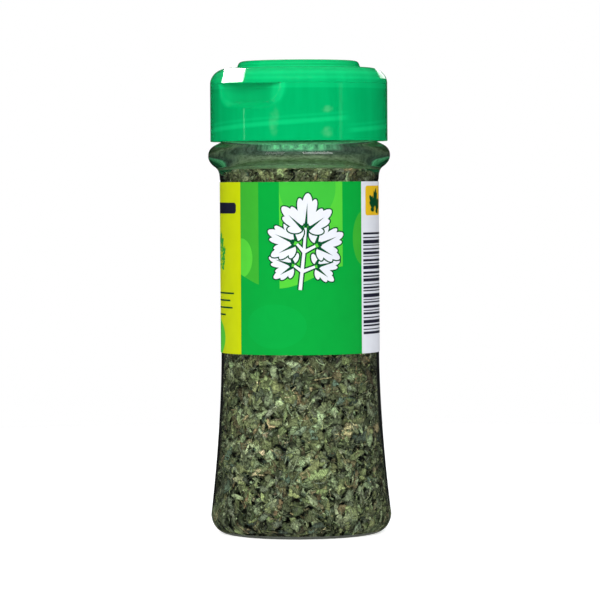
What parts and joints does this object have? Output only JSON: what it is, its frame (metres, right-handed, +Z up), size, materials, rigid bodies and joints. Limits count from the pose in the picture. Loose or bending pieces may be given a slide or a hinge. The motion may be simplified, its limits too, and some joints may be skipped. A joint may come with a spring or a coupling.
{
  "type": "glass spice jar of dried coriander leaf with flip-top cap",
  "caption": "Waisted round glass spice jar filled with dried coriander leaf, with a wraparound label and a green screw-on flip-top sifter cap.",
  "frame": {"origin": "on the surface that the jar stands on, under the middle of its foot", "axes": "+Z up along the jar's axis, -Y towards the printed front that the picture shows, +X to the right of that front"},
  "size_m": [0.0434, 0.0434, 0.1125],
  "materials": {
    "clear_glass": "clear polished flint glass",
    "printed_label": "printed label with a satin varnish",
    "dried_leaf": "rubbed dried leaf, matt olive green with tan bits",
    "seal_foam": "soft white foamed plastic",
    "green_plastic": "glossy translucent green polypropylene"
  },
  "bodies": {
    "jar": {"glass_jar": "clear_glass", "wrap_label": "printed_label", "coriander_fill": "dried_leaf"},
    "screw_carrier": {"seal_ring": "seal_foam"},
    "cap": {"cap_base": "green_plastic", "living_hinge": "green_plastic"},
    "lid": {"flip_lid": "green_plastic"}
  },
  "joints": [
    {"name": "cap_lift", "type": "slide", "parent": "jar", "child": "screw_carrier", "axis": [0, 0, 1], "range_m": [0, 0.00451]},
    {"name": "cap_turn", "type": "hinge", "parent": "screw_carrier", "child": "cap", "pos_m": [0, 0, 0.0934], "axis": [0, 0, 1], "range_deg": [0, 180]},
    {"name": "lid_flip", "type": "hinge", "parent": "cap", "child": "lid", "pos_m": [0.0122, 0.01679, 0.10695], "axis": [-0.809, 0.5878, 0], "range_deg": [0, 150], "deforming": ["living_hinge"]}
  ],
  "couplings": [
    {"joint": "cap_lift", "follows": "cap_turn", "m_per_rad": 0.0014324}
  ]
}
